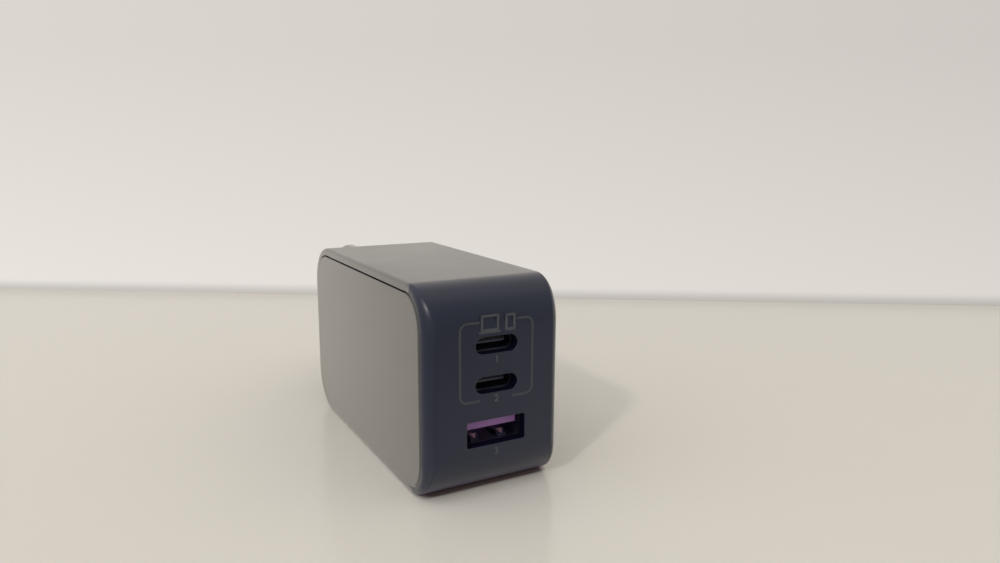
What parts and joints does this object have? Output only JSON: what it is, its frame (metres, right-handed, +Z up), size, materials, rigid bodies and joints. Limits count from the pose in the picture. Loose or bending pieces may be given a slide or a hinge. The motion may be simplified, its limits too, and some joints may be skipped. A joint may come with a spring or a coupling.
{
  "type": "usb wall charger",
  "caption": "Compact wall charger with a rounded slab body, a wide socket and small sockets on its narrow face, and a fixed round-pin mains plug behind.",
  "frame": {"origin": "centre of the flat underside that the charger stands on, under the middle of the body", "axes": "+Y from the socket face towards the plug pins, +X across the socket face, +Z up"},
  "size_m": [0.0294, 0.107, 0.042],
  "materials": {
    "wrap": "fine satin texture, with printed line shapes on the socket face",
    "panels": "plain satin",
    "plug_moulding": "plain satin",
    "pin_metal": "smooth nickel plate",
    "sleeve": "matt",
    "socket_steel": "plain sheet",
    "small_tongue": "matt",
    "wide_tongue": "matt, dull purple",
    "contact_metal": "gold-like plate",
    "board": "solder mask",
    "ferrite": "fired ferrite",
    "bobbin": "moulded",
    "winding": "tape over the coil",
    "can_sleeve": "shrunk sleeve",
    "bare_can": "bare",
    "film_block": "moulded",
    "copper_wire": "enamelled",
    "black_resin": "moulded",
    "fuse_body": "coated",
    "pad": "soft",
    "spreader": "mill",
    "sheet": "thin film"
  },
  "bodies": {
    "root": {"housing": "wrap", "left_side_panel": "panels", "right_side_panel": "panels", "plug_base": "plug_moulding", "upper_plug_pin": "pin_metal", "lower_plug_pin": "pin_metal", "upper_pin_sleeve": "sleeve", "lower_pin_sleeve": "sleeve", "upper_pin_contact": "contact_metal", "lower_pin_contact": "contact_metal", "upper_socket_shell": "socket_steel", "upper_socket_tongue": "small_tongue", "upper_socket_contacts": "contact_metal", "lower_socket_shell": "socket_steel", "lower_socket_tongue": "small_tongue", "lower_socket_contacts": "contact_metal", "wide_socket_shell": "socket_steel", "wide_socket_tongue": "wide_tongue", "wide_socket_contacts": "contact_metal", "socket_board": "board", "main_board": "board", "transformer_core": "ferrite", "transformer_bobbin": "bobbin", "transformer_winding": "winding", "upper_input_capacitor": "can_sleeve", "lower_input_capacitor": "can_sleeve", "film_capacitor": "film_block", "choke_core": "ferrite", "choke_winding": "copper_wire", "bridge_rectifier": "black_resin", "fuse": "fuse_body", "output_capacitors": "bare_can", "power_chip": "black_resin", "socket_control_chip": "black_resin", "thermal_pad": "pad", "heat_spreader": "spreader", "insulating_sheet": "sheet"}
  },
  "joints": []
}
